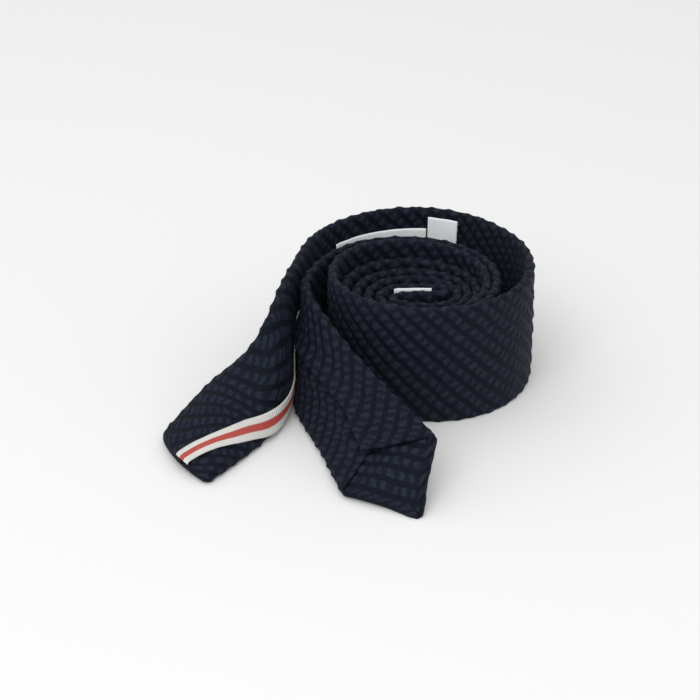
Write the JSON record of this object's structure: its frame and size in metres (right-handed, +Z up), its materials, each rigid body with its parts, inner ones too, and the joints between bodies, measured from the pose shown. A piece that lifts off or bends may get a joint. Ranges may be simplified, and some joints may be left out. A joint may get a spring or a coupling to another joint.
{
  "type": "rolled necktie",
  "caption": "Slim seersucker necktie, folded in half and rolled up on its long edge, with both ends lying free and a striped tape on one back.",
  "frame": {"origin": "middle of the whole tie's footprint, on the plane that it rests on", "axes": "+Z up, across the rolled strip; both free ends come forward towards -Y; +X to the right as seen from the ends"},
  "size_m": [0.1792, 0.202, 0.0602],
  "materials": {
    "cloth": "dark navy tonal seersucker, matt, puckered, woven in narrow bias stripes",
    "lining": "the same seersucker cut straight, as tipping",
    "interlining": "natural brushed wool interlining",
    "tape": "ribbed woven tape, red and white stripes",
    "label": "white satin-woven label, blank",
    "thread": "dark navy sewing thread"
  },
  "bodies": {
    "roll": {"narrow_blade_roll": "cloth", "neck_band": "cloth", "wide_blade_roll": "cloth", "interlining_roll": "interlining", "striped_tape_roll": "tape", "slip_stitch_roll": "thread", "bar_tack_wide": "thread", "keeper_label": "label", "neck_tab": "label"},
    "wide_end": {"wide_blade_end": "cloth", "interlining_wide_end": "interlining", "striped_tape_end": "tape"},
    "narrow_end": {"narrow_blade_end": "cloth", "interlining_narrow_end": "interlining", "narrow_tipping": "lining", "slip_stitch_narrow_end": "thread", "bar_tack_narrow": "thread"},
    "care_flap": {"care_label": "label"}
  },
  "joints": [
    {"name": "wide_end_swing", "type": "hinge", "parent": "roll", "child": "wide_end", "pos_m": [-0.0372, 0.0011, 0.03], "axis": [0, 0, -1], "range_deg": [0, 30]},
    {"name": "narrow_end_swing", "type": "hinge", "parent": "roll", "child": "narrow_end", "pos_m": [-0.0292, -0.006, 0.03], "axis": [0, 0, -1], "range_deg": [0, 8]},
    {"name": "care_label_flap", "type": "hinge", "parent": "roll", "child": "care_flap", "pos_m": [0.04, 0.095, 0.042], "axis": [0, 0, -1], "range_deg": [0, 35]}
  ]
}
